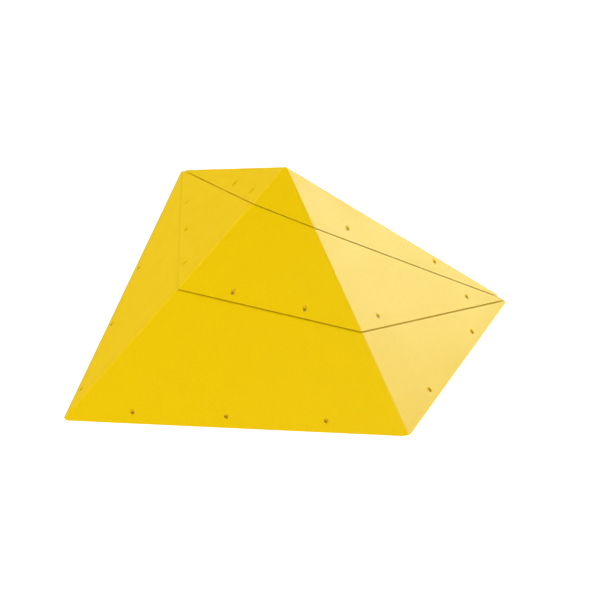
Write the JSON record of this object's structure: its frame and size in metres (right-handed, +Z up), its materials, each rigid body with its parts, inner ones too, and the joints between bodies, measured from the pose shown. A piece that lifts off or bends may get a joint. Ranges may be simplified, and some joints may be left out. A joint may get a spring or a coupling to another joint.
{
  "type": "climbing wall volume",
  "caption": "Lopsided pyramid of stacked hollow climbing-wall volumes: yellow wedge-shaped shells that fan out from the back edge, screwed together through pockets near their rims.",
  "frame": {"origin": "middle of the footprint's bounding rectangle, on the plane of the lower volume's rim", "axes": "+Z up, away from the wall or floor; +X along the straight back edge from the back left to the back right corner; the front faces point towards -Y"},
  "size_m": [1.1428, 1.0058, 0.4189],
  "materials": {
    "yellow_fibreglass": "moulded glass-fibre shell with a fine gritty matt gelcoat",
    "birch_plywood": "raw birch plywood",
    "yellow_zinc_steel": "yellow chromated zinc plate on steel wood screws and washers"
  },
  "bodies": {
    "lower_volume": {"lower_front_washer_1": "yellow_zinc_steel", "lower_front_washer_2": "yellow_zinc_steel", "lower_front_washer_3": "yellow_zinc_steel", "lower_left_washer_1": "yellow_zinc_steel", "lower_left_washer_2": "yellow_zinc_steel", "lower_left_washer_3": "yellow_zinc_steel", "lower_right_washer_1": "yellow_zinc_steel", "lower_right_washer_2": "yellow_zinc_steel", "lower_screw_board": "birch_plywood", "lower_shell": "yellow_fibreglass"},
    "middle_volume": {"middle_front_screw_1": "yellow_zinc_steel", "middle_front_screw_2": "yellow_zinc_steel", "middle_front_washer_1": "yellow_zinc_steel", "middle_front_washer_2": "yellow_zinc_steel", "middle_left_screw_1": "yellow_zinc_steel", "middle_left_screw_2": "yellow_zinc_steel", "middle_left_screw_3": "yellow_zinc_steel", "middle_left_washer_1": "yellow_zinc_steel", "middle_left_washer_2": "yellow_zinc_steel", "middle_left_washer_3": "yellow_zinc_steel", "middle_right_screw_1": "yellow_zinc_steel", "middle_right_screw_2": "yellow_zinc_steel", "middle_right_washer_1": "yellow_zinc_steel", "middle_right_washer_2": "yellow_zinc_steel", "middle_screw_board": "birch_plywood", "middle_shell": "yellow_fibreglass"},
    "upper_volume": {"upper_left_screw_1": "yellow_zinc_steel", "upper_left_screw_2": "yellow_zinc_steel", "upper_left_washer_1": "yellow_zinc_steel", "upper_left_washer_2": "yellow_zinc_steel", "upper_right_screw_1": "yellow_zinc_steel", "upper_right_screw_2": "yellow_zinc_steel", "upper_right_washer_1": "yellow_zinc_steel", "upper_right_washer_2": "yellow_zinc_steel", "upper_shell": "yellow_fibreglass"}
  },
  "joints": [
    {"name": "middle_lift", "type": "slide", "parent": "lower_volume", "child": "middle_volume", "axis": [0, 0.3007, 0.9537], "range_m": [0, 0.12]},
    {"name": "upper_lift", "type": "slide", "parent": "middle_volume", "child": "upper_volume", "axis": [0, 0.6157, 0.788], "range_m": [0, 0.12]}
  ]
}
